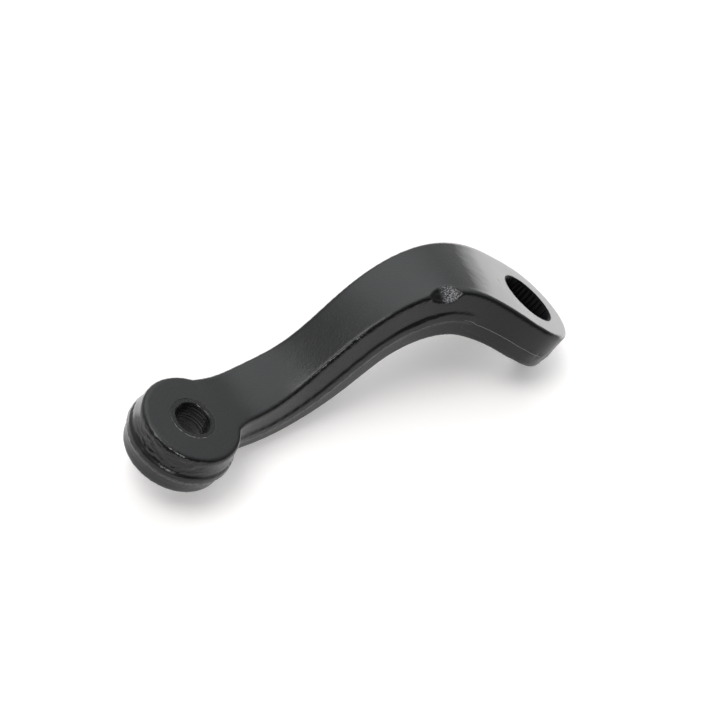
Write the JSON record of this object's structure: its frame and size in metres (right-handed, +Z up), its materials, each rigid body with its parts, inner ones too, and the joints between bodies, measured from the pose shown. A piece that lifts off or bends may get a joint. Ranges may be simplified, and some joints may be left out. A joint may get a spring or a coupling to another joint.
{
  "type": "steering pitman arm",
  "caption": "Drop pitman arm: a black S-bent steel forging with a serrated eye for the steering box shaft and a tapered ball stud hole.",
  "frame": {"origin": "middle of the serrated bore in the large eye, on its axis", "axes": "+Z up from the table the arm rests on, +X from the ball stud boss towards the eye, +Y towards the side away from the picture's viewer"},
  "size_m": [0.2633, 0.0703, 0.0648],
  "materials": {
    "coated_forging": "semi-gloss black coating over a forged skin"
  },
  "bodies": {
    "root": {"pitman_arm": "coated_forging"}
  },
  "joints": []
}
